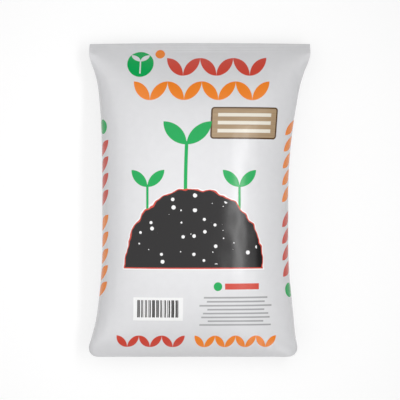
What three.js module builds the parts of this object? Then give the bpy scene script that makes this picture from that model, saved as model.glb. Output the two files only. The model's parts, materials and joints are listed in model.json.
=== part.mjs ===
// A filled compost bag, lying on its back. It is one tube of film: heat-sealed flat across
// the top, filled, and with its bottom seal tucked under, so that the bottom end is blunt.
// Millimetres. +Z is up, out of the front; +Y runs to the top seal; +X is the front's right.
// The origin is under the middle of the bag, on the ground.
import * as THREE from "three";

// Film and fill
const FLAT_WIDTH = 320; // the empty tube laid flat, which is half its girth
const FILM_THICKNESS = 0.2; // one ply
const BAG_LENGTH = 453; // top edge to bottom end, filled
const CROWN_HEIGHT = 107; // ground to the highest line of the front
const GIRTH_LINE_HEIGHT = 43; // ground to the widest line of the filled sides

// Top end: the sealed strip hangs down a little from its root
const SEAL_DEPTH = 14; // width of the welded strip, measured in plan
const SEAL_ROOT_HEIGHT = 33; // ground to the strip's root
const SEAL_EDGE_HEIGHT = 21; // ground to the strip's free edge
const TOP_TAPER = 215; // from the strip's root to where the bag is full
const TOP_TAPER_POWER = 2.5; // steeper at the root when larger

// Bottom end: a rounded nose
const NOSE_HEIGHT = 34; // ground to the foremost line of the nose
const NOSE_CROWN = 49; // crown height that the taper would have at the end if it weren't rounded
const NOSE_BELLY = 16; // the same for the underside
const NOSE_ROUNDING = 28; // how far the nose takes to round over, in plan
const CORNER_RADIUS = 18.5; // bottom corners, in plan
const BOTTOM_TAPER = 159; // from the bottom end to where the bag is full
const BOTTOM_TAPER_POWER = 1.75; // steeper at the nose when larger

// Underside: pressed flat on the ground, and lifting to the seal and to the nose
const GROUND_PRESS = 1.6; // how far the unloaded belly would reach below the ground
const HEEL_LENGTH = 51; // length over which the underside lifts to the seal
const TOE_LENGTH = 59; // length over which it lifts to the nose
const LIFT_POWER = 2.2; // sharper lift when larger

// Fullness of the cross-section: 2 is an ellipse, more is boxier, less has thin sides
const EAR_FULLNESS = 1.74; // at the top seal, where the corners stay thin
const CROWN_FULLNESS = 2.13; // the filled front
const BELLY_FULLNESS = 3.34; // the filled underside
const EAR_LENGTH = 66; // from the seal to where the sides are full
const EAR_POWER = 2; // sides fill out sooner when larger

// The filled bag lies a little towards its left below the seal, and more so at the nose
const WAIST_LEAN = 6.5; // sideways shift of the filled middle against the top edge
const WAIST_LEAN_LENGTH = 215; // from the top edge to where that shift is whole
const NOSE_LEAN = 3.4; // further shift of the bottom end
const NOSE_LEAN_LENGTH = 75; // from the bottom end to where the further shift begins

// Soft gathers that run out of the top seal, and fade into the filled front
const GATHER_PITCH = 40; // crest to crest
const GATHER_HEIGHT = 0.5; // crest above the smooth front
const GATHER_REACH = 80; // how far they run from the seal

// Facets
const SHEET_SPANS = 44; // spans across the front, and as many across the back
const TOP_ROWS = 20; // rows in the top taper
const TOP_CROWDING = 1.5; // rows closer to the seal when larger
const MIDDLE_ROWS = 8; // rows between the tapers
const BOTTOM_ROWS = 20; // rows in the bottom taper
const BOTTOM_CROWDING = 2; // rows closer to the nose when larger
const SEAL_ROWS = 2; // rows in the welded strip
const CLOSEST_ROWS = 0.1; // rows nearer than this to the last one are left out
const SECTION_STEPS = 240; // fine steps used to measure and divide a section
const FIT_STEPS = 40; // halvings when a section's width is fitted to the girth

const lerp = THREE.MathUtils.lerp;
const clamp = THREE.MathUtils.clamp;
const smoothstep = THREE.MathUtils.smoothstep;

// Plan stations along the bag
const topEdge = BAG_LENGTH / 2;
const sealRoot = topEdge - SEAL_DEPTH;
const bottomEnd = -BAG_LENGTH / 2;

// A rise from 0 to 1 over a length, steep at first and level at its end.
function rise(distance, length, power) {
  return 1 - (1 - clamp(distance / length, 0, 1)) ** power;
}

// The quarter round that takes an edge in over its radius: 0 at the edge, 1 from the radius on.
function quarterRound(distance, radius) {
  return Math.sqrt(1 - (1 - clamp(distance / radius, 0, 1)) ** 2);
}

// Heights and fullness of the cross-section at a station, before the nose is rounded.
function sectionAt(y) {
  const fromSeal = Math.max(sealRoot - y, 0);
  const fromEnd = y - bottomEnd;
  const intoStrip = clamp((y - sealRoot) / SEAL_DEPTH, 0, 1);

  const topRise = rise(fromSeal, TOP_TAPER, TOP_TAPER_POWER);
  const bottomRise = rise(fromEnd, BOTTOM_TAPER, BOTTOM_TAPER_POWER);
  const heel = rise(fromSeal, HEEL_LENGTH, LIFT_POWER);
  const toe = rise(fromEnd, TOE_LENGTH, LIFT_POWER);
  const ear = rise(fromSeal, EAR_LENGTH, EAR_POWER);
  const stripHeight = lerp(SEAL_ROOT_HEIGHT, SEAL_EDGE_HEIGHT, intoStrip);

  const side =
    lerp(stripHeight, GIRTH_LINE_HEIGHT, topRise) -
    lerp(GIRTH_LINE_HEIGHT - NOSE_HEIGHT, 0, bottomRise);
  const crown =
    lerp(stripHeight, CROWN_HEIGHT, topRise) -
    lerp(CROWN_HEIGHT - NOSE_CROWN, 0, bottomRise);
  const belly =
    lerp(stripHeight, -GROUND_PRESS, heel) + lerp(NOSE_BELLY + GROUND_PRESS, 0, toe);

  return {
    side,
    frontRise: crown - side,
    backDrop: side - belly,
    frontFullness: lerp(EAR_FULLNESS, CROWN_FULLNESS, ear),
    backFullness: lerp(EAR_FULLNESS, BELLY_FULLNESS, ear),
  };
}

// One sheet of a section as fine points from the left side to the right side.
// x runs from -halfWidth to halfWidth, and y is the distance from the side line.
function sheetCurve(halfWidth, height, fullness) {
  const points = [];
  for (let i = 0; i <= SECTION_STEPS; i++) {
    const angle = (Math.PI * i) / SECTION_STEPS;
    const across = Math.abs(Math.cos(angle)) ** (2 / fullness);
    const up = Math.sin(angle) ** (2 / fullness);
    points.push(
      new THREE.Vector2(-Math.sign(Math.cos(angle)) * halfWidth * across, height * up),
    );
  }
  return points;
}

function lengthOf(points) {
  let sum = 0;
  for (let i = 1; i < points.length; i++) {
    sum += points[i].distanceTo(points[i - 1]);
  }
  return sum;
}

// Film doesn't stretch: the half width at which the section takes up the whole girth.
function fittedHalfWidth(section) {
  let low = 0;
  let high = FLAT_WIDTH / 2;
  for (let i = 0; i < FIT_STEPS; i++) {
    const half = (low + high) / 2;
    const girth =
      lengthOf(sheetCurve(half, section.frontRise, section.frontFullness)) +
      lengthOf(sheetCurve(half, section.backDrop, section.backFullness));
    if (girth < 2 * FLAT_WIDTH) {
      low = half;
    } else {
      high = half;
    }
  }
  return high;
}

// A curve divided into equal lengths, so that the film's spans stay even.
function divided(points, spans) {
  const total = lengthOf(points);
  const made = [points[0].clone()];
  let walked = 0;
  let i = 1;
  for (let k = 1; k < spans; k++) {
    const target = (total * k) / spans;
    while (walked + points[i].distanceTo(points[i - 1]) < target) {
      walked += points[i].distanceTo(points[i - 1]);
      i++;
    }
    const share = (target - walked) / points[i].distanceTo(points[i - 1]);
    made.push(points[i - 1].clone().lerp(points[i], share));
  }
  made.push(points[points.length - 1].clone());
  return made;
}

// Where the bag's middle line lies at a station, sideways of the middle of the top edge.
function middleAt(y) {
  const belowTop = smoothstep(topEdge - y, 0, WAIST_LEAN_LENGTH);
  const aboveNose = smoothstep(y - bottomEnd, 0, NOSE_LEAN_LENGTH);
  return -WAIST_LEAN * belowTop - NOSE_LEAN * (1 - aboveNose);
}

// Height of the gathers at a distance from the seal, for a point at x on the film.
function gather(x, fromSeal) {
  const reach = clamp(fromSeal / GATHER_REACH, 0, 1);
  const swell = Math.sin(Math.PI * Math.sqrt(reach)) ** 2;
  return GATHER_HEIGHT * swell * Math.cos((2 * Math.PI * x) / GATHER_PITCH);
}

// The closed ring of film at a station: the front from left to right, then the back
// from right to left.
function ringAt(y) {
  const section = sectionAt(y);
  const fromSeal = Math.max(sealRoot - y, 0);
  const fromEnd = y - bottomEnd;
  const nose = quarterRound(fromEnd, NOSE_ROUNDING);
  const cornerCut = CORNER_RADIUS * (1 - quarterRound(fromEnd, CORNER_RADIUS));
  const halfWidth = fittedHalfWidth(section) - cornerCut;
  const middle = middleAt(y);

  const front = divided(
    sheetCurve(halfWidth, section.frontRise * nose, section.frontFullness),
    SHEET_SPANS,
  );
  const back = divided(
    sheetCurve(halfWidth, section.backDrop * nose, section.backFullness),
    SHEET_SPANS,
  );
  const onGround = (x, z) => new THREE.Vector3(middle + x, y, Math.max(z, 0));
  return [
    ...front.map((p) => {
      const inward = 1 - (p.x / halfWidth) ** 2;
      return onGround(p.x, section.side + FILM_THICKNESS + p.y + inward * gather(p.x, fromSeal));
    }),
    ...back.reverse().map((p) => onGround(p.x, section.side - FILM_THICKNESS - p.y)),
  ];
}

// Stations from the bottom end to the top edge, closest where the film turns most.
function stations() {
  const planned = [];
  for (let i = 0; i < BOTTOM_ROWS; i++) {
    planned.push(bottomEnd + BOTTOM_TAPER * (i / BOTTOM_ROWS) ** BOTTOM_CROWDING);
  }
  const fullFrom = bottomEnd + BOTTOM_TAPER;
  const fullTo = sealRoot - TOP_TAPER;
  for (let i = 0; i < MIDDLE_ROWS; i++) {
    planned.push(lerp(fullFrom, fullTo, i / MIDDLE_ROWS));
  }
  for (let i = 0; i < TOP_ROWS; i++) {
    planned.push(sealRoot - TOP_TAPER * (1 - i / TOP_ROWS) ** TOP_CROWDING);
  }
  for (let i = 0; i <= SEAL_ROWS; i++) {
    planned.push(sealRoot + (SEAL_DEPTH * i) / SEAL_ROWS);
  }
  planned.sort((a, b) => a - b);
  return planned.filter((y, i) => i === 0 || y - planned[i - 1] > CLOSEST_ROWS);
}

// A closed skin over rings of equal count, with each end zipped front to back.
function skinOver(rings) {
  const count = rings[0].length;
  const positions = rings.flat().flatMap((p) => p.toArray());
  const faces = [];
  for (let r = 0; r + 1 < rings.length; r++) {
    for (let i = 0; i < count; i++) {
      const here = r * count + i;
      const next = r * count + ((i + 1) % count);
      faces.push(here, next, here + count, next, next + count, here + count);
    }
  }
  const zip = (firstVertex, flip) => {
    for (let i = 0; i < SHEET_SPANS; i++) {
      const quad = [i, i + 1, count - 2 - i, count - 1 - i].map((k) => firstVertex + k);
      const [a, b, c, d] = flip ? quad.reverse() : quad;
      faces.push(a, b, c, a, c, d);
    }
  };
  zip(0, true);
  zip((rings.length - 1) * count, false);
  const geometry = new THREE.BufferGeometry();
  geometry.setAttribute("position", new THREE.Float32BufferAttribute(positions, 3));
  geometry.setIndex(faces);
  geometry.computeVertexNormals();
  return geometry;
}

// The origin goes under the middle of the bag's box.
function centredOnGround(geometry) {
  geometry.computeBoundingBox();
  const middle = geometry.boundingBox.getCenter(new THREE.Vector3());
  return geometry.translate(-middle.x, -middle.y, -geometry.boundingBox.min.z);
}

function filledBag() {
  const film = new THREE.MeshStandardMaterial({
    name: "white_film",
    color: 0xe7e6ea,
    roughness: 0.42,
    metalness: 0,
  });
  const mesh = new THREE.Mesh(centredOnGround(skinOver(stations().map(ringAt))), film);
  mesh.name = "filled_bag";
  return mesh;
}

const compostBag = new THREE.Group();
compostBag.name = "compost_bag";
compostBag.add(filledBag());

export default compostBag;
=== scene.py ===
"""A filled compost bag of printed white film, lying on its back.

The film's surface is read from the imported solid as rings, refined, and slackened by a short cloth
simulation. The print is worked out by shader maths in the film's own coordinates: metres to the
right of the front's middle, and metres below the top edge.
"""

import json
import logging
import math
from dataclasses import dataclass, field
from enum import Enum
from functools import reduce
from typing import Union

import bpy
import numpy as np
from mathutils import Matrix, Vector, noise

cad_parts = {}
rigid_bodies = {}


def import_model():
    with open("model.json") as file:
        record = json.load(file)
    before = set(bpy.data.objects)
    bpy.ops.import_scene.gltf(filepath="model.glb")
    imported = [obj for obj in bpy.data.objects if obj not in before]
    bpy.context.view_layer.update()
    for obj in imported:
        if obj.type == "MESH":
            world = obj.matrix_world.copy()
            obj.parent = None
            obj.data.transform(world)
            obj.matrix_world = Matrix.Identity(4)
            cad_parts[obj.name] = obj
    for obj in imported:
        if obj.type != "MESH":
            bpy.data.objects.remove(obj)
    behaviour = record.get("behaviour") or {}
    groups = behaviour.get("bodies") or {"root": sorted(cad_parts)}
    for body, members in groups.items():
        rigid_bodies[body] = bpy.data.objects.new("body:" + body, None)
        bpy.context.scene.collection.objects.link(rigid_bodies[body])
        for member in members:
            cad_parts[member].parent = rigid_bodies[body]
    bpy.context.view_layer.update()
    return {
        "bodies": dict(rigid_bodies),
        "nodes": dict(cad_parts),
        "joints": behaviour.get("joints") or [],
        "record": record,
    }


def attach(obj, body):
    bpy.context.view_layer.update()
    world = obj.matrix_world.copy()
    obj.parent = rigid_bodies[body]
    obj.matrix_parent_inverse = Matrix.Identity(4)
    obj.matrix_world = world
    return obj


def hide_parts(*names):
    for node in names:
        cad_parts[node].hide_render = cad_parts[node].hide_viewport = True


MM = 0.001
FILM_MAP = "film"
NOISE_MEAN = 0.5
RING_STEP = 0.01 * MM
SAME_POINT = 0.001 * MM
LOG = logging.getLogger("compost_bag")

Colour = tuple[float, float, float, float]
Operand = Union["Signal", float]


def linear(red: int, green: int, blue: int) -> Colour:
    """Turns a screen colour into the linear colour that a shader takes.

    Args:
        red: Red, from 0 to 255.
        green: Green, from 0 to 255.
        blue: Blue, from 0 to 255.

    Returns:
        The linear colour, with alpha 1.
    """

    def channel(value: int) -> float:
        """Returns one channel in linear light."""
        share = value / 255
        return share / 12.92 if share <= 0.04045 else ((share + 0.055) / 1.055) ** 2.4

    return (channel(red), channel(green), channel(blue), 1.0)


def grey(level: float) -> Colour:
    """Returns a linear grey."""
    return (level, level, level, 1.0)


class Signal:
    """A shader socket that takes part in Python arithmetic.

    Each operation adds one Math node to the graph that the socket belongs to.
    """

    def __init__(self, graph: "ShaderGraph", socket: bpy.types.NodeSocket) -> None:
        """Wraps a socket of a graph."""
        self.graph = graph
        self.socket = socket

    def __add__(self, other: Operand) -> "Signal":
        """Returns self + other."""
        return self.graph.math("ADD", self, other)

    def __radd__(self, other: float) -> "Signal":
        """Returns other + self."""
        return self.graph.math("ADD", other, self)

    def __sub__(self, other: Operand) -> "Signal":
        """Returns self - other."""
        return self.graph.math("SUBTRACT", self, other)

    def __rsub__(self, other: float) -> "Signal":
        """Returns other - self."""
        return self.graph.math("SUBTRACT", other, self)

    def __mul__(self, other: Operand) -> "Signal":
        """Returns self * other."""
        return self.graph.math("MULTIPLY", self, other)

    def __rmul__(self, other: float) -> "Signal":
        """Returns other * self."""
        return self.graph.math("MULTIPLY", other, self)

    def __truediv__(self, other: Operand) -> "Signal":
        """Returns self / other."""
        return self.graph.math("DIVIDE", self, other)

    def __abs__(self) -> "Signal":
        """Returns the absolute value."""
        return self.graph.math("ABSOLUTE", self)

    def most(self, other: Operand) -> "Signal":
        """Returns the larger of self and other."""
        return self.graph.math("MAXIMUM", self, other)

    def least(self, other: Operand) -> "Signal":
        """Returns the smaller of self and other."""
        return self.graph.math("MINIMUM", self, other)

    def sine(self) -> "Signal":
        """Returns the sine of an angle in radians."""
        return self.graph.math("SINE", self)

    def fraction(self) -> "Signal":
        """Returns what is left above the whole number below."""
        return self.graph.math("FRACT", self)

    def floor(self) -> "Signal":
        """Returns the whole number below."""
        return self.graph.math("FLOOR", self)

    def there_and_back(self) -> "Signal":
        """Returns a value that runs from 0 to 1 and back to 0 with each 2 of self."""
        return self.graph.math("PINGPONG", self, 1.0)


class ShaderGraph:
    """Builds one node tree."""

    MIX_COLOUR = {"factor": 0, "first": 6, "second": 7, "result": 2}

    def __init__(self, tree: bpy.types.NodeTree) -> None:
        """Takes a node tree and empties it."""
        self.tree = tree
        tree.nodes.clear()

    def node(
        self,
        kind: str,
        settings: dict[str, object] | None = None,
        inputs: dict[int | str, object] | None = None,
        output: int | str = 0,
    ) -> Signal:
        """Adds a node.

        Args:
            kind: The node's type name.
            settings: Properties of the node, which are set first.
            inputs: Values or signals for its sockets, by name or index.
            output: The output that is handed back, by name or index.

        Returns:
            The chosen output.
        """
        made = self.tree.nodes.new(kind)
        for name, value in (settings or {}).items():
            setattr(made, name, value)
        for key, value in (inputs or {}).items():
            if isinstance(value, Signal):
                self.tree.links.new(value.socket, made.inputs[key])
            else:
                made.inputs[key].default_value = value
        return Signal(self, made.outputs[output])

    def output(self, kind: str, surface: Signal) -> None:
        """Adds the tree's output node."""
        made = self.tree.nodes.new(kind)
        self.tree.links.new(surface.socket, made.inputs["Surface"])

    def math(self, operation: str, *operands: Operand, clamp: bool = False) -> Signal:
        """Adds a Math node.

        Args:
            operation: Its operation.
            operands: Its values or signals, in order.
            clamp: Whether its result is kept from 0 to 1.

        Returns:
            The result.
        """
        settings = {"operation": operation, "use_clamp": clamp}
        return self.node("ShaderNodeMath", settings, dict(enumerate(operands)))

    def mix(self, factor: Operand, first: object, second: object) -> Signal:
        """Mixes two colours.

        Args:
            factor: 0 for the first colour, 1 for the second.
            first: A colour or a signal.
            second: A colour or a signal.

        Returns:
            The mixed colour.
        """
        ports = self.MIX_COLOUR
        inputs = {ports["factor"]: factor, ports["first"]: first, ports["second"]: second}
        return self.node("ShaderNodeMix", {"data_type": "RGBA"}, inputs, ports["result"])

    def point(self, x: Operand, y: Operand) -> Signal:
        """Joins two values into a vector."""
        return self.node("ShaderNodeCombineXYZ", None, {0: x, 1: y})

    def distance(self, point: Signal, x: float, y: float) -> Signal:
        """Returns how far a vector is from a fixed point."""
        settings = {"operation": "DISTANCE"}
        return self.node("ShaderNodeVectorMath", settings, {0: point, 1: (x, y, 0.0)}, "Value")


class Ink(Enum):
    """The inks of the print, as linear colours."""

    GREEN = linear(0, 172, 86)
    RED = linear(214, 74, 58)
    ORANGE = linear(250, 138, 42)
    CHARCOAL = linear(26, 24, 25)
    TAN = linear(194, 167, 133)
    BROWN = linear(84, 58, 32)
    WHITE = linear(250, 250, 250)
    CREAM = linear(240, 234, 220)


@dataclass(frozen=True)
class Area:
    """A rectangle on the film, in metres.

    Attributes:
        left: From the front's middle, to the right.
        right: From the front's middle, to the right.
        top: Below the top edge.
        bottom: Below the top edge.
    """

    left: float
    right: float
    top: float
    bottom: float

    @property
    def width(self) -> float:
        """The width across the film."""
        return self.right - self.left

    @property
    def height(self) -> float:
        """The height along the film."""
        return self.bottom - self.top

    @property
    def middle(self) -> tuple[float, float]:
        """The centre, across and down."""
        return (self.left + self.right) / 2, (self.top + self.bottom) / 2


@dataclass(frozen=True)
class Plant:
    """A seedling on the mound, in metres.

    Attributes:
        shift: From the mound's middle, to the right.
        root: Where its stem starts, below the mound's top.
        height: From there to its leaf tips.
        leaf: Size of a leaf's cell.
    """

    shift: float
    root: float
    height: float
    leaf: float


@dataclass(frozen=True)
class SideRow:
    """A row of leaves down a side.

    Attributes:
        start: Where it starts, below the top edge on the left side.
        end: Where it ends.
        leaves: How many leaves it has.
        ink: Its ink.
    """

    start: float
    end: float
    leaves: int
    ink: Ink


@dataclass
class FilmPrint:
    """A generic garden print: rows of leaves, seedlings on a mound of soil, a sign and plain rules.

    Shares are parts of a pitch, and inks are covers from 0 to 1.

    Attributes:
        graph: The film's shader graph.
        across: Metres to the right of the front's middle.
        down: Metres below the top edge.
        soft_edge: Over what width an ink's edge fades.
        stem_share: Width of a seedling's stem, as a share of its leaf.
        wood_grain: How fine the sign's grain is, across and down.
        wood_ink: Most of the brown in the sign's grain.
        lump_size: Size of the lumps in the mound's outline.
        lump_depth: Depth of those lumps.
        speck_pitch: Spacing of the mound's pale grains.
        speck_size: Width of the largest grain.
        speck_skipped: Share of the grains that are left out.
        speck_margin: Bare soil between the grains and the mound's edge.
        bar_turns: Turns of the two waves that make the uneven bars, in radians a metre.
        bar_reach: Distance that a wave's height of 1 stands for.
        bar_level: Height of the waves at a bar's edge.
        small_rule_turn: How much the small rules' lengths vary from one to the next, in radians.
        side_row_middle: Where the two sides' rows are turned about, below the top edge.
    """

    graph: ShaderGraph
    across: Signal
    down: Signal
    soft_edge: float = 0.5 * MM
    badge: Area = Area(-104 * MM, -66 * MM, 17 * MM, 66 * MM)
    stem_share: float = 1 / 7
    sprout_foot: float = 8 * MM
    sprout_height: float = 34 * MM
    sprout_leaf: float = 13 * MM
    dot: Area = Area(-64 * MM, -50 * MM, 13 * MM, 31 * MM)
    first_row: Area = Area(-47 * MM, 96 * MM, 30 * MM, 64 * MM)
    first_row_leaves: int = 6
    second_row: Area = Area(-93 * MM, 101 * MM, 74 * MM, 105 * MM)
    second_row_leaves: int = 8
    foot_left: Area = Area(-111 * MM, -13 * MM, 450 * MM, 472 * MM)
    foot_left_leaves: int = 6
    foot_right: Area = Area(1 * MM, 118 * MM, 450 * MM, 472 * MM)
    foot_right_leaves: int = 8
    sign: Area = Area(19 * MM, 116 * MM, 116 * MM, 164 * MM)
    sign_corner: float = 5 * MM
    sign_border: float = 2.2 * MM
    sign_rules: Area = Area(29 * MM, 106 * MM, 122 * MM, 158 * MM)
    sign_rule_count: int = 3
    sign_rule_share: float = 0.44
    wood_grain: tuple[float, float] = (18.0, 420.0)
    wood_ink: float = 0.45
    mound: Area = Area(-100 * MM, 97 * MM, 236 * MM, 345 * MM)
    lump_size: float = 16 * MM
    lump_depth: float = 9 * MM
    speck_pitch: float = 15 * MM
    speck_size: float = 6 * MM
    speck_skipped: float = 0.5
    speck_margin: float = 5 * MM
    plants: tuple[Plant, ...] = (
        Plant(-12 * MM, 8 * MM, 106 * MM, 34 * MM),
        Plant(-66 * MM, 34 * MM, 62 * MM, 24 * MM),
        Plant(64 * MM, 34 * MM, 62 * MM, 24 * MM),
    )
    outline: float = 1.8 * MM
    keyline: float = 1.6 * MM
    patch: Area = Area(-88 * MM, -17 * MM, 389 * MM, 425 * MM)
    bars: Area = Area(-84 * MM, -22 * MM, 393 * MM, 420 * MM)
    bar_turns: tuple[float, float] = (1150.0, 2070.0)
    bar_reach: float = 1.2 * MM
    bar_level: float = -0.1
    heading_dot: Area = Area(26 * MM, 38 * MM, 366 * MM, 379 * MM)
    heading_rule: Area = Area(42 * MM, 91 * MM, 368 * MM, 377 * MM)
    small_rules: Area = Area(6 * MM, 110 * MM, 386 * MM, 435 * MM)
    small_rule_count: int = 8
    small_rule_share: float = 0.4
    small_rule_ink: float = 0.5
    small_rule_turn: float = 2.4
    small_rule_spread: float = 0.12
    side_row_from: float = 133 * MM
    side_row_to: float = 161 * MM
    side_row_middle: float = 262 * MM
    side_rows: tuple[SideRow, ...] = (
        SideRow(164 * MM, 259 * MM, 4, Ink.RED),
        SideRow(271 * MM, 391 * MM, 5, Ink.ORANGE),
    )
    side_dot: float = 144 * MM
    side_dot_radius: float = 11 * MM

    def inside(self, distance: Signal) -> Signal:
        """Turns a distance from an ink's edge, negative inside, into its cover from 0 to 1."""
        return self.graph.math("MULTIPLY_ADD", distance, -1 / self.soft_edge, 0.5, clamp=True)

    def box(self, area: Area, corner: float = 0.0) -> Signal:
        """Measures a rectangle.

        Args:
            area: Where it is.
            corner: Its corners' radius.

        Returns:
            The distance from its edge, negative inside.
        """
        column, row = area.middle
        beside = abs(self.across - column) - (area.width / 2 - corner)
        above = abs(self.down - row) - (area.height / 2 - corner)
        if corner == 0:
            return beside.most(above)
        outer = self.graph.point(beside.most(0), above.most(0))
        rounded = self.graph.distance(outer, 0, 0)
        return rounded + beside.most(above).least(0) - corner

    def oval(self, area: Area) -> Signal:
        """Measures the oval that fills a rectangle, negative inside."""
        column, row = area.middle
        aside = (self.across - column) / (area.width / 2)
        along = (self.down - row) / (area.height / 2)
        return (self.graph.distance(self.graph.point(aside, along), 0, 0) - 1) * (area.width / 2)

    def leaf(self, across: Signal, up: Signal, size: float) -> Signal:
        """Measures a leaf that runs from a cell's lower left corner to its upper right one.

        Args:
            across: Place in the cell, from 0 to 1.
            up: Place in the cell, from 0 to 1.
            size: The cell's size in metres.

        Returns:
            The distance from the leaf's edge, negative inside.
        """
        cell = self.graph.point(across, up)
        beyond = self.graph.distance(cell, 1, 0).most(self.graph.distance(cell, 0, 1))
        return (beyond - 1) * size

    def leaf_row(self, area: Area, leaves: int) -> Signal:
        """Measures a row of leaves in pairs that lean apart, as seed leaves do.

        Args:
            area: Where the row is.
            leaves: How many leaves it has.

        Returns:
            The row's cover.
        """
        cell = area.width / leaves
        along = ((self.across - (area.left - cell)) / cell).there_and_back()
        up = (area.bottom - self.down) / area.height
        leaf = self.leaf(along, up, min(cell, area.height))
        return self.inside(leaf.most(self.box(area)))

    def seedling(self, column: float, root: float, height: float, leaf_size: float) -> Signal:
        """Measures a seedling: a stem with two seed leaves.

        Args:
            column: Where it stands, across.
            root: Where its stem starts, down.
            height: From there to its leaf tips.
            leaf_size: Size of a leaf's cell.

        Returns:
            The distance from its edge, negative inside.
        """
        stem_width = leaf_size * self.stem_share
        aside = abs(self.across - column)
        up = root - self.down
        stem_top = height - leaf_size
        leaves = self.leaf(aside / leaf_size, (up - stem_top) / leaf_size, leaf_size)
        stem = (aside - stem_width / 2).most(abs(up - stem_top / 2) - stem_top / 2 - stem_width)
        return leaves.least(stem)

    def paint(self, film: Signal) -> tuple[Signal, Signal]:
        """Lays every ink over the film's own colour.

        Args:
            film: The bare film's colour.

        Returns:
            The printed colour, and the cover of all inks together.
        """
        layers = [
            *self.title_layers(),
            *self.sign_layers(),
            *self.mound_layers(),
            *self.foot_layers(),
            *self.side_layers(),
        ]
        colour = film
        cover = layers[0][0]
        for mask, ink in layers:
            tint = ink.value if isinstance(ink, Ink) else ink
            colour = self.graph.mix(mask, colour, tint)
            cover = cover.most(mask)
        return colour, cover

    def title_layers(self) -> list[tuple[Signal, object]]:
        """Returns the badge, its dot and the two rows of leaves under the seal."""
        column, _ = self.badge.middle
        foot = self.badge.bottom - self.sprout_foot
        sprout = self.seedling(column, foot, self.sprout_height, self.sprout_leaf)
        return [
            (self.inside(self.oval(self.badge).most(0 - sprout)), Ink.GREEN),
            (self.inside(self.oval(self.dot)), Ink.ORANGE),
            (self.leaf_row(self.first_row, self.first_row_leaves), Ink.RED),
            (self.leaf_row(self.second_row, self.second_row_leaves), Ink.ORANGE),
        ]

    def sign_layers(self) -> list[tuple[Signal, object]]:
        """Returns the wooden sign with its border and three plain rules."""
        fine_across, fine_down = self.wood_grain
        grain = self.graph.node(
            "ShaderNodeTexNoise",
            {"noise_dimensions": "2D"},
            {
                "Vector": self.graph.point(self.across * fine_across, self.down * fine_down),
                "Scale": 1.0,
                "Detail": 4.0,
                "Roughness": 0.6,
            },
        )
        board = self.box(self.sign, self.sign_corner)
        wood = self.graph.mix(grain * self.wood_ink, Ink.TAN.value, Ink.BROWN.value)
        pitch = self.sign_rules.height / self.sign_rule_count
        place = (self.down - self.sign_rules.top) / pitch
        bar = (abs(place.fraction() - 0.5) - self.sign_rule_share / 2) * pitch
        rules = bar.most(self.box(self.sign_rules))
        return [
            (self.inside(board), Ink.BROWN),
            (self.inside(board + self.sign_border), wood),
            (self.inside(rules), Ink.CREAM),
        ]

    def mound_layers(self) -> list[tuple[Signal, object]]:
        """Returns the heap of soil with pale grains in it and three seedlings on it."""
        column, _ = self.mound.middle
        place = self.graph.point(self.across, self.down)
        lumps = self.graph.node(
            "ShaderNodeTexNoise",
            {"noise_dimensions": "2D"},
            {"Vector": place, "Scale": 1 / self.lump_size, "Detail": 1.0},
        )
        aside = (self.across - column) / (self.mound.width / 2)
        up = (self.mound.bottom - self.down) / self.mound.height
        reach = self.graph.distance(self.graph.point(aside, up), 0, 0)
        dome = (reach - 1) * self.mound.height + (lumps - NOISE_MEAN) * self.lump_depth
        soil = dome.most(self.down - self.mound.bottom)
        grains = {"voronoi_dimensions": "2D"}, {"Vector": place, "Scale": 1 / self.speck_pitch}
        apart = self.graph.node("ShaderNodeTexVoronoi", *grains, "Distance") * self.speck_pitch
        chance = self.graph.node("ShaderNodeTexVoronoi", *grains, "Color")
        share = self.graph.node("ShaderNodeSeparateColor", None, {0: chance})
        radius = (share - self.speck_skipped) * self.speck_size
        specks = (apart - radius).most(soil + self.speck_margin)
        seedlings = [
            self.seedling(column + plant.shift, self.mound.top + plant.root, plant.height, plant.leaf)
            for plant in self.plants
        ]
        plants = reduce(Signal.least, seedlings)
        return [
            (self.inside(soil - self.outline - self.keyline), Ink.WHITE),
            (self.inside(plants), Ink.GREEN),
            (self.inside(soil - self.outline), Ink.RED),
            (self.inside(soil), Ink.CHARCOAL),
            (self.inside(specks), Ink.WHITE),
        ]

    def foot_layers(self) -> list[tuple[Signal, object]]:
        """Returns the code patch, the small rules and the row of leaves at the bottom."""
        wide, narrow = self.bar_turns
        wave = (self.across * wide).sine() + (self.across * narrow + 1).sine()
        bars = (self.bar_level - wave) * self.bar_reach
        pitch = self.small_rules.height / self.small_rule_count
        place = (self.down - self.small_rules.top) / pitch
        varied = (place.floor() * self.small_rule_turn).sine()
        shortness = varied * self.small_rule_spread + self.small_rule_spread
        middle, _ = self.small_rules.middle
        half = (1 - shortness) * (self.small_rules.width / 2)
        line = (abs(place.fraction() - 0.5) - self.small_rule_share / 2) * pitch
        rules = line.most(abs(self.across - middle) - half).most(self.box(self.small_rules))
        return [
            (self.inside(self.box(self.patch)), Ink.WHITE),
            (self.inside(bars.most(self.box(self.bars))), Ink.CHARCOAL),
            (self.inside(self.oval(self.heading_dot)), Ink.GREEN),
            (self.inside(self.box(self.heading_rule)), Ink.RED),
            (self.inside(rules) * self.small_rule_ink, Ink.CHARCOAL),
            (self.leaf_row(self.foot_left, self.foot_left_leaves), Ink.RED),
            (self.leaf_row(self.foot_right, self.foot_right_leaves), Ink.ORANGE),
        ]

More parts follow.
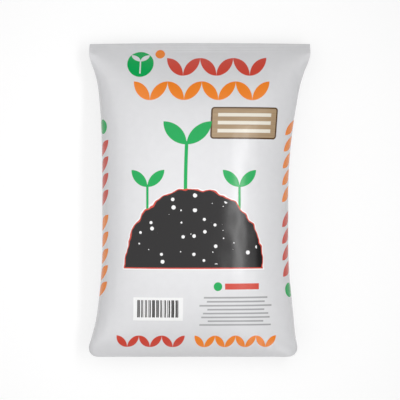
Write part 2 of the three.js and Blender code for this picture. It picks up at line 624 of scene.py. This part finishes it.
    def side_layers(self) -> list[tuple[Signal, object]]:
        """Returns the rows of leaves that run down the two sides, one turned against the other."""
        turned = self.graph.math("SIGN", self.across) * (self.side_row_middle - self.down)
        along = turned + self.side_row_middle
        aside = abs(self.across)
        width = self.side_row_to - self.side_row_from
        middle = (self.side_row_from + self.side_row_to) / 2
        band = abs(aside - middle) - width / 2
        up = (aside - self.side_row_from) / width
        layers = []
        for row in self.side_rows:
            length = row.end - row.start
            cell = length / row.leaves
            place = ((along - row.start) / cell).fraction()
            leaf = self.leaf(place, up, min(cell, width))
            limit = band.most(abs(along - (row.start + row.end) / 2) - length / 2)
            layers.append((self.inside(leaf.most(limit)), row.ink))
        spot = self.graph.point(aside, along)
        disc = self.graph.distance(spot, middle, self.side_dot) - self.side_dot_radius
        layers.append((self.inside(disc), Ink.GREEN))
        return layers


@dataclass(frozen=True)
class FilmFinish:
    """Printed white polyethylene film.

    Attributes:
        white: The bare film's colour.
        shade: Its colour where dark soil lies close behind it.
        roughness: Roughness of the bare film.
        ink_roughness: Roughness where it is printed.
        specular: Strength of its gloss.
        grain: Depth of the film's fine unevenness.
        grain_strength: How strongly that unevenness shows.
        mottle_scale: How fine the mottle is.
        fine_scale: How fine the grain is.
        mottle_share: Share of the mottle in the unevenness.
        roughness_spread: How much the roughness varies.
    """

    white: Colour = linear(233, 233, 235)
    shade: Colour = linear(227, 227, 229)
    roughness: float = 0.25
    ink_roughness: float = 0.23
    specular: float = 0.5
    grain: float = 0.12 * MM
    grain_strength: float = 0.35
    mottle_scale: float = 90.0
    fine_scale: float = 700.0
    mottle_share: float = 0.8
    roughness_spread: float = 0.08

    def material(self) -> bpy.types.Material:
        """Builds the film's material.

        Returns:
            The material, which reads the film's own map.
        """
        made = bpy.data.materials.new("printed_white_film")
        made.use_nodes = True
        graph = ShaderGraph(made.node_tree)
        film = graph.node("ShaderNodeUVMap", {"uv_map": FILM_MAP})
        across = graph.node("ShaderNodeSeparateXYZ", None, {0: film}, "X")
        down = graph.node("ShaderNodeSeparateXYZ", None, {0: film}, "Y")
        solid = graph.node("ShaderNodeTexCoord", None, None, "Object")
        mottle = graph.node(
            "ShaderNodeTexNoise",
            None,
            {"Vector": solid, "Scale": self.mottle_scale, "Detail": 3.0},
        )
        bare = graph.mix(mottle, self.white, self.shade)
        colour, cover = FilmPrint(graph, across, down).paint(bare)
        fine = graph.node(
            "ShaderNodeTexNoise",
            None,
            {"Vector": solid, "Scale": self.fine_scale, "Detail": 2.0},
        )
        uneven = (fine - NOISE_MEAN) * self.roughness_spread
        rough = self.roughness + cover * (self.ink_roughness - self.roughness) + uneven
        height = mottle * self.mottle_share + fine * (1 - self.mottle_share)
        bump = graph.node(
            "ShaderNodeBump",
            None,
            {"Strength": self.grain_strength, "Distance": self.grain, "Height": height},
        )
        shader = graph.node(
            "ShaderNodeBsdfPrincipled",
            None,
            {
                "Base Color": colour,
                "Roughness": rough,
                "Specular IOR Level": self.specular,
                "Normal": bump,
            },
        )
        graph.output("ShaderNodeOutputMaterial", shader)
        return made


def hermite(values: np.ndarray, at: np.ndarray, wanted: np.ndarray) -> np.ndarray:
    """Passes a smooth curve through values along the first axis.

    Args:
        values: The known values.
        at: Where they are, rising.
        wanted: Where values are asked for.

    Returns:
        The values there.
    """
    step = np.diff(at)
    shape = (-1,) + (1,) * (values.ndim - 1)
    slope = np.diff(values, axis=0) / step.reshape(shape)
    before = step[:-1].reshape(shape)
    after = step[1:].reshape(shape)
    inner = (slope[:-1] * after + slope[1:] * before) / (before + after)
    tangent = np.concatenate([slope[:1], inner, slope[-1:]])
    index = np.clip(np.searchsorted(at, wanted, side="right") - 1, 0, len(step) - 1)
    share = ((wanted - at[index]) / step[index]).reshape(shape)
    width = step[index].reshape(shape)
    low, high = values[index], values[index + 1]
    low_pull, high_pull = tangent[index] * width, tangent[index + 1] * width
    square = share * share
    cube = square * share
    return (
        (2 * cube - 3 * square + 1) * low
        + (cube - 2 * square + share) * low_pull
        + (3 * square - 2 * cube) * high
        + (cube - square) * high_pull
    )


def smooth_step(value: np.ndarray, low: float, high: float) -> np.ndarray:
    """Rises smoothly from 0 at low to 1 at high."""
    share = np.clip((value - low) / (high - low), 0, 1)
    return share * share * (3 - 2 * share)


@dataclass
class FilmSlack:
    """A short cloth simulation that lets the film crease where the fill leaves it loose.

    Attributes:
        frames: How many frames it runs.
        growth: How much longer the loose film is than the solid's surface.
        reach: How far from either end the film is loose.
        sides: From and to which share of the half width the film grows loose.
        hold: How firmly the rest of the film is held, from 0 to 1.
        held_end: Length of the bottom end that stays as it is.
        held_ground: Height below which the film lies pressed on the ground.
        pressure: How hard the fill presses.
        limit: The most that a point may move.
    """

    frames: int = 20
    growth: float = 0.16
    reach: float = 130 * MM
    sides: tuple[float, float] = (0.3, 0.9)
    hold: float = 0.3
    held_end: float = 4 * MM
    held_ground: float = 1.5 * MM
    pressure: float = 60.0
    limit: float = 4 * MM

    def settle(self, mesh: bpy.types.Mesh, held: np.ndarray, loose: np.ndarray) -> np.ndarray:
        """Runs the simulation.

        Args:
            mesh: The bag's closed mesh, which is used up.
            held: How firmly each point is held, from 0 to 1.
            loose: How loose the film is at each point, from 0 to 1.

        Returns:
            The points where they come to rest.
        """
        cloth = bpy.data.objects.new("slack", mesh)
        bpy.context.scene.collection.objects.link(cloth)
        for name, weights in (("held", held), ("loose", loose)):
            group = cloth.vertex_groups.new(name=name)
            for index, weight in enumerate(weights.tolist()):
                group.add([index], weight, "REPLACE")
        modifier = cloth.modifiers.new("cloth", "CLOTH")
        settings = modifier.settings
        settings.quality = 6
        settings.mass = 0.01
        settings.tension_stiffness = 20
        settings.compression_stiffness = 5
        settings.shear_stiffness = 5
        settings.bending_stiffness = 0.05
        settings.tension_damping = 5
        settings.compression_damping = 5
        settings.air_damping = 4
        settings.vertex_group_mass = "held"
        settings.pin_stiffness = 0.5
        settings.vertex_group_shrink = "loose"
        settings.shrink_min = 0.0
        settings.shrink_max = -self.growth
        settings.use_pressure = True
        settings.uniform_pressure_force = self.pressure
        settings.effector_weights.gravity = 0.0
        modifier.collision_settings.use_collision = False
        modifier.point_cache.frame_start = 1
        modifier.point_cache.frame_end = self.frames
        start = np.array([v.co for v in mesh.vertices])
        scene = bpy.context.scene
        for frame in range(1, self.frames + 1):
            scene.frame_set(frame)
        posed = cloth.evaluated_get(bpy.context.evaluated_depsgraph_get())
        rest = np.array([v.co for v in posed.data.vertices])
        bpy.data.objects.remove(cloth)
        bpy.data.meshes.remove(mesh)
        scene.frame_set(1)
        move = rest - start
        length = np.maximum(np.linalg.norm(move, axis=1, keepdims=True), SAME_POINT)
        LOG.info("slack moves the film by up to %.1f mm", length.max() / MM)
        return start + move * (self.limit * np.tanh(length / self.limit) / length)


@dataclass
class FilledBag:
    """The film bag with its fill.

    Attributes:
        node: The solid that it stands for.
        name: The piece's own name.
        fill_level: How tight the bag is, from 0 to 1.
        flat_film: Thickness under which the two sheets lie welded.
        row_pitch: Widest spacing of the fine rows.
        strip_pitch: Their spacing in the welded strip.
        span_cuts: Fine spans in each span of the solid.
        slack_pitch: Spacing of the rows in the cloth simulation.
        slack: The cloth simulation.
        rib_pitch: Spacing of the weld's ribs.
        rib_height: Their height.
        edge_bow: How far the top edge bows out in its middle.
        lump_size: Size of the fill's lumps.
        lump_height: Their height.
        lump_fade: Length below the strip over which they grow.
        tuck_length: Length of the seal that is tucked under the bottom end.
        tuck_height: How far it stands off the film.
        tuck_ramp: Length over which its edge rises.
        tuck_start: From and to what distance from the bottom end it comes up.
        tuck_sides: From and to which share of the half width it dies out.
        sharp_angle: Fold in degrees that is shown as an edge.
        finish: The film's finish.
    """

    node: str = "filled_bag"
    name: str = "film_bag"
    fill_level: float = 0.85
    flat_film: float = 1 * MM
    row_pitch: float = 2.5 * MM
    strip_pitch: float = 0.5 * MM
    span_cuts: int = 3
    slack_pitch: float = 5 * MM
    slack: FilmSlack = field(default_factory=FilmSlack)
    rib_pitch: float = 3 * MM
    rib_height: float = 0.22 * MM
    edge_bow: float = 1.5 * MM
    lump_size: float = 26 * MM
    lump_height: float = 0.5 * MM
    lump_fade: float = 60 * MM
    tuck_length: float = 36 * MM
    tuck_height: float = 0.7 * MM
    tuck_ramp: float = 2 * MM
    tuck_start: tuple[float, float] = (2 * MM, 8 * MM)
    tuck_sides: tuple[float, float] = (0.88, 0.92)
    sharp_angle: float = 55.0
    finish: FilmFinish = field(default_factory=FilmFinish)

    def sheets(self, solid: bpy.types.Object) -> tuple[np.ndarray, np.ndarray]:
        """Reads the solid's rings.

        Args:
            solid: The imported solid, whose rings lie at constant Y.

        Returns:
            The front and the back, each as rows from the bottom end to the top edge of points from
            left to right, in metres.
        """
        points = np.array([v.co for v in solid.data.vertices])
        stations = np.round(points[:, 1] / RING_STEP).astype(int)
        fronts, backs = [], []
        for station in np.unique(stations):
            ring = points[stations == station]
            ring = ring[np.unique(np.round(ring / SAME_POINT), axis=0, return_index=True)[1]]
            side = ring[ring[:, 0] < ring[:, 0].min() + SAME_POINT, 2].mean()
            front, back = ring[ring[:, 2] > side], ring[ring[:, 2] < side]
            fronts.append(front[np.argsort(front[:, 0])])
            backs.append(back[np.argsort(back[:, 0])])
        return np.array(fronts), np.array(backs)

    def fine_rows(
        self, front: np.ndarray, root: int, body_pitch: float, strip_pitch: float
    ) -> tuple[np.ndarray, np.ndarray]:
        """Places finer rows.

        Args:
            front: The front's coarse points.
            root: The row at the welded strip's root.
            body_pitch: Widest spacing below the root.
            strip_pitch: Widest spacing in the strip.

        Returns:
            Distances of the coarse rows and of the fine rows from the bottom end, along the film.
        """
        middle = front[:, front.shape[1] // 2]
        step = np.linalg.norm(np.diff(middle, axis=0), axis=1)
        coarse = np.concatenate([[0], np.cumsum(step)])
        fine = [coarse[:1]]
        for row, length in enumerate(step):
            pitch = strip_pitch if row >= root else body_pitch
            cuts = max(1, math.ceil(length / pitch))
            fine.append(coarse[row] + length * np.arange(1, cuts + 1) / cuts)
        return coarse, np.concatenate(fine)

    def refine(
        self, sheet: np.ndarray, coarse: np.ndarray, fine: np.ndarray, root: int, cuts: int
    ) -> np.ndarray:
        """Refines a sheet, keeping the fold at the welded strip's root sharp.

        Args:
            sheet: The coarse points.
            coarse: The coarse rows' distances along the film.
            fine: The fine rows' distances.
            root: The row at the strip's root.
            cuts: Fine spans in each coarse span.

        Returns:
            The fine points.
        """
        body = fine <= coarse[root]
        rows = np.concatenate(
            [
                hermite(sheet[: root + 1], coarse[: root + 1], fine[body]),
                hermite(sheet[root:], coarse[root:], fine[~body]),
            ]
        )
        columns = np.arange(sheet.shape[1], dtype=float)
        wanted = np.linspace(0, columns[-1], (sheet.shape[1] - 1) * cuts + 1)
        return hermite(rows.swapaxes(0, 1), columns, wanted).swapaxes(0, 1)

    def film_places(self, front: np.ndarray, back: np.ndarray) -> tuple[np.ndarray, np.ndarray]:
        """Measures the film across.

        Args:
            front: The front's fine points.
            back: The back's fine points.

        Returns:
            For the front and for the back, the distance of each point from the front's middle, along
            the film. On the back it runs on from the nearer side.
        """

        def walked(sheet: np.ndarray) -> np.ndarray:
            """Returns each point's distance from the left side."""
            step = np.linalg.norm(np.diff(sheet, axis=1), axis=2)
            return np.concatenate([np.zeros((len(sheet), 1)), np.cumsum(step, axis=1)], axis=1)

        middle = front.shape[1] // 2
        over = walked(front)
        over -= over[:, middle : middle + 1]
        under = walked(back)
        return over, np.stack([over[:, :1] - under, over[:, -1:] + under[:, -1:] - under])

    def build(self, solid: bpy.types.Object) -> bpy.types.Object:
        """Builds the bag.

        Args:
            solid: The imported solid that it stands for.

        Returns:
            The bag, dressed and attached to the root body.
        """
        front, back = self.sheets(solid)
        thickness = (front[:, :, 2] - back[:, :, 2]).max(axis=1)
        root = int(np.max(np.nonzero(thickness > self.flat_film)) + 1)
        front, back, root = self.slackened(front, back, root)
        coarse, fine = self.fine_rows(front, root, self.row_pitch, self.strip_pitch)
        front = self.refine(front, coarse, fine, root, self.span_cuts)
        back = self.refine(back, coarse, fine, root, self.span_cuts)
        over, under = self.film_places(front, back)
        down = fine[-1] - fine
        self.roughen(front, back, fine - coarse[root])
        mesh = self.mesh(front, back, over, under, down)
        bag = bpy.data.objects.new(self.name, mesh)
        bpy.context.scene.collection.objects.link(bag)
        mesh.materials.append(self.finish.material())
        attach(bag, "root")
        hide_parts(self.node)
        return bag

    def slackened(
        self, front: np.ndarray, back: np.ndarray, root: int
    ) -> tuple[np.ndarray, np.ndarray, int]:
        """Lets the film settle where it is loose: along its sides near the two ends.

        Args:
            front: The front's coarse points.
            back: The back's coarse points.
            root: The row at the welded strip's root.

        Returns:
            The front and the back with evener rows, settled, and the row at the strip's root.
        """
        coarse, fine = self.fine_rows(front, root, self.slack_pitch, self.slack_pitch)
        front = self.refine(front, coarse, fine, root, 1)
        back = self.refine(back, coarse, fine, root, 1)
        over, under = self.film_places(front, back)
        mesh = self.mesh(front, back, over, under, fine)
        points = np.array([v.co for v in mesh.vertices]).reshape(len(fine), -1, 3)
        end = np.minimum(fine, coarse[root] - fine)[:, None]
        aside = np.abs(np.linspace(-1, 1, front.shape[1]))
        aside = np.concatenate([aside, aside])[None, :]
        slack = self.slack
        near_end = 1 - smooth_step(end, 0.2 * slack.reach, slack.reach)
        loose = near_end * smooth_step(aside, *slack.sides)
        held = slack.hold * (1 - loose)
        held[fine >= coarse[root] - SAME_POINT] = 1
        held[fine < slack.held_end] = 1
        held[points[:, :, 2] < slack.held_ground] = 1
        rest = slack.settle(mesh, held.ravel(), loose.ravel()).reshape(points.shape)
        rest[:, :, 2] = np.maximum(rest[:, :, 2], 0)
        columns = front.shape[1]
        root = int(np.argmin(np.abs(fine - coarse[root])))
        return rest[:, :columns], rest[:, : columns - 1 : -1], root

    def roughen(self, front: np.ndarray, back: np.ndarray, into_strip: np.ndarray) -> None:
        """Adds the strip's ribs, the bow of its edge, the tucked seal and the fill's lumps, in place.

        Args:
            front: The front's fine points.
            back: The back's fine points.
            into_strip: Each row's distance past the strip's root, negative below it.
        """
        depth = into_strip[-1]
        strip = np.clip(into_strip / depth, 0, 1)[:, None]
        rib = self.rib_height * np.sin(2 * np.pi * into_strip / self.rib_pitch)[:, None] * (strip > 0)
        for sheet in (front, back):
            half = np.abs(sheet[:, :, 0]).max()
            sheet[:, :, 1] += self.edge_bow * strip * (1 - (sheet[:, :, 0] / half) ** 2)
            sheet[:, :, 2] += rib
        along = back[:, :, 1] - back[0, :, 1]
        aside = np.abs(np.linspace(-1, 1, back.shape[1]))
        flap = 1 - smooth_step(along, self.tuck_length, self.tuck_length + self.tuck_ramp)
        flap *= smooth_step(along, *self.tuck_start)
        flap *= 1 - smooth_step(aside, *self.tuck_sides)
        back[:, :, 2] -= np.minimum(self.tuck_height * flap, back[:, :, 2])
        fade = np.clip(-into_strip / self.lump_fade, 0, 1)[:, None]
        lumps = np.array([[noise.noise(Vector(p) / self.lump_size) for p in row] for row in front])
        edge = np.sin(np.linspace(0, np.pi, front.shape[1]))[None, :]
        front[:, :, 2] += self.lump_height * lumps * fade * edge

    def mesh(
        self,
        front: np.ndarray,
        back: np.ndarray,
        over: np.ndarray,
        under: np.ndarray,
        down: np.ndarray,
    ) -> bpy.types.Mesh:
        """Joins the two sheets into one closed mesh with the film's map.

        Args:
            front: The front's points.
            back: The back's points.
            over: The front's places across the film.
            under: The back's places across the film, counted round the left side and the right side.
            down: Each row's place below the top edge.

        Returns:
            The mesh.
        """
        rows, columns = front.shape[:2]
        count = 2 * columns
        points = np.concatenate([front, back[:, ::-1]], axis=1).reshape(-1, 3)
        spans = columns - 1
        middle = spans // 2
        faces, places = [], []

        def place(row: int, k: int, right: bool) -> tuple[float, float]:
            """Returns a corner's place on the film."""
            if k < columns:
                return over[row, k], down[row]
            return under[1 if right else 0, row, count - 1 - k], down[row]

        for row in range(rows - 1):
            for k in range(count):
                after = (k + 1) % count
                right = k < columns + middle
                corners = [(row, k), (row, after), (row + 1, after), (row + 1, k)]
                faces.append([r * count + c for r, c in corners])
                places.extend(place(r, c, right) for r, c in corners)
        for row, ascending in ((0, True), (rows - 1, False)):
            for k in range(spans):
                corners = [count - 1 - k, count - 2 - k, k + 1, k]
                if not ascending:
                    corners.reverse()
                faces.append([row * count + c for c in corners])
                places.extend(place(row, min(c, count - 1 - c), True) for c in corners)
        mesh = bpy.data.meshes.new(self.name)
        mesh.from_pydata(points.tolist(), [], faces)
        layer = mesh.uv_layers.new(name=FILM_MAP)
        layer.data.foreach_set("uv", np.array(places, dtype=np.float32).ravel())
        mesh.shade_smooth()
        mesh.set_sharp_from_angle(angle=math.radians(self.sharp_angle))
        mesh.update()
        return mesh


@dataclass(frozen=True)
class SoftLamp:
    """A rectangular lamp, which shines down until it is turned.

    Attributes:
        name: The lamp's name.
        place: Where it is.
        turn: How far it is turned about X, Y and Z, in degrees.
        size: Its width along X and its length along Y before it is turned.
        power: Its power in watts.
    """

    name: str
    place: tuple[float, float, float]
    turn: tuple[float, float, float]
    size: tuple[float, float]
    power: float

    def build(self) -> bpy.types.Object:
        """Adds the lamp, which the camera doesn't see."""
        data = bpy.data.lights.new(self.name, "AREA")
        data.shape = "RECTANGLE"
        data.size, data.size_y = self.size
        data.energy = self.power
        made = bpy.data.objects.new(self.name, data)
        made.location = self.place
        made.rotation_euler = [math.radians(angle) for angle in self.turn]
        made.visible_camera = False
        bpy.context.scene.collection.objects.link(made)
        return made


@dataclass
class Studio:
    """A pale floor, soft lamps and a camera that looks straight down.

    The lamps are a key close over the bag, a long strip to its right and a low strip at its foot.

    Attributes:
        frame_width: What the picture spans at the outline's height.
        outline_height: Height of the bag's outline above the floor.
        aim: What the camera looks down on, across and along the bag.
        lens: The camera's focal length in millimetres.
        sensor: The sensor's width in millimetres.
        lamps: The lamps.
        floor_half: Half the floor's width.
        floor_grey: How much of the lamps' light the floor throws back.
        floor_glow: The floor's own light on the bag.
        floor_white: What the floor adds where it is seen itself.
        surround_dim: The surround's light on the bag.
        surround_white: The surround's brightness at the horizon where it is seen.
        horizon: Heights between which it falls from white to dim, as sines.
    """

    frame_width: float = 576 * MM
    outline_height: float = 40 * MM
    aim: tuple[float, float] = (0.4 * MM, -0.1 * MM)
    lens: float = 135.0
    sensor: float = 36.0
    lamps: tuple[SoftLamp, ...] = (
        SoftLamp("key", (-0.06, 0, 0.352), (0, -12, 0), (0.97, 1.1), 2.95),
        SoftLamp("strip", (0.6, 0, 1.2), (0, 28, 0), (0.15, 1.5), 5.2),
        SoftLamp("foot", (0.45, -1.5, 0.6), (75, 0, 15), (0.2, 1.2), 1.8),
    )
    floor_half: float = 6.0
    floor_grey: float = 0.42
    floor_glow: float = 0.27
    floor_white: float = 0.63
    surround_dim: float = 0.08
    surround_white: float = 0.85
    horizon: tuple[float, float] = (0.075, 0.325)

    def camera(self) -> bpy.types.Object:
        """Places the camera over the bag's middle."""
        data = bpy.data.cameras.new("camera")
        data.lens = self.lens
        data.sensor_width = self.sensor
        made = bpy.data.objects.new("camera", data)
        distance = self.frame_width * self.lens / self.sensor
        made.location = (*self.aim, distance + self.outline_height)
        bpy.context.scene.collection.objects.link(made)
        bpy.context.scene.camera = made
        return made

    def floor(self) -> bpy.types.Object:
        """Builds the pale floor."""
        half = self.floor_half
        corners = [(-half, -half, 0), (half, -half, 0), (half, half, 0), (-half, half, 0)]
        mesh = bpy.data.meshes.new("floor")
        mesh.from_pydata(corners, [], [(0, 1, 2, 3)])
        made = bpy.data.objects.new("floor", mesh)
        bpy.context.scene.collection.objects.link(made)
        mesh.materials.append(self.floor_material())
        return made

    def seen(self, graph: ShaderGraph) -> Signal:
        """Returns 1 for rays that show the surroundings themselves, and 0 for rays of their light."""
        rays = ("Is Camera Ray", "Is Glossy Ray", "Is Transmission Ray")
        shown = [graph.node("ShaderNodeLightPath", None, None, ray) for ray in rays]
        return shown[0].most(shown[1]).most(shown[2])

    def floor_material(self) -> bpy.types.Material:
        """Builds the floor's material, which shows near white and keeps the bag's shadow."""
        made = bpy.data.materials.new("pale_floor")
        made.use_nodes = True
        graph = ShaderGraph(made.node_tree)
        diffuse = graph.node("ShaderNodeBsdfDiffuse", None, {"Color": grey(self.floor_grey)})
        shown = graph.mix(self.seen(graph), grey(self.floor_glow), grey(self.floor_white))
        glow = graph.node("ShaderNodeEmission", None, {"Color": shown, "Strength": 1.0})
        total = graph.node("ShaderNodeAddShader", None, {0: diffuse, 1: glow})
        graph.output("ShaderNodeOutputMaterial", total)
        return made

    def world(self) -> None:
        """Sets a surround that is white at the horizon and dimmer overhead."""
        made = bpy.data.worlds.new("surround")
        made.use_nodes = True
        graph = ShaderGraph(made.node_tree)
        way = graph.node("ShaderNodeTexCoord", None, None, "Generated")
        height = abs(graph.node("ShaderNodeSeparateXYZ", None, {0: way}, "Z"))
        low, high = self.horizon
        rise = graph.math("MULTIPLY_ADD", height, 1 / (high - low), -low / (high - low), clamp=True)
        dim = grey(self.surround_dim)
        shown = graph.mix(rise, grey(self.surround_white), dim)
        colour = graph.mix(self.seen(graph), dim, shown)
        back = graph.node("ShaderNodeBackground", None, {"Color": colour, "Strength": 1.0})
        graph.output("ShaderNodeOutputWorld", back)
        bpy.context.scene.world = made

    def build(self) -> None:
        """Builds the whole studio."""
        self.camera()
        for lamp in self.lamps:
            lamp.build()
        self.floor()
        self.world()
        bpy.context.scene.view_settings.view_transform = "Standard"


def main() -> None:
    """Builds the bag and the studio."""
    logging.basicConfig(level=logging.INFO, format="%(name)s: %(message)s")
    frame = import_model()
    maker = FilledBag()
    bag = maker.build(frame["nodes"][maker.node])
    LOG.info("%s has %d faces", bag.name, len(bag.data.polygons))
    Studio().build()
    LOG.info("studio is set")


if __name__ == "__main__":
    main()
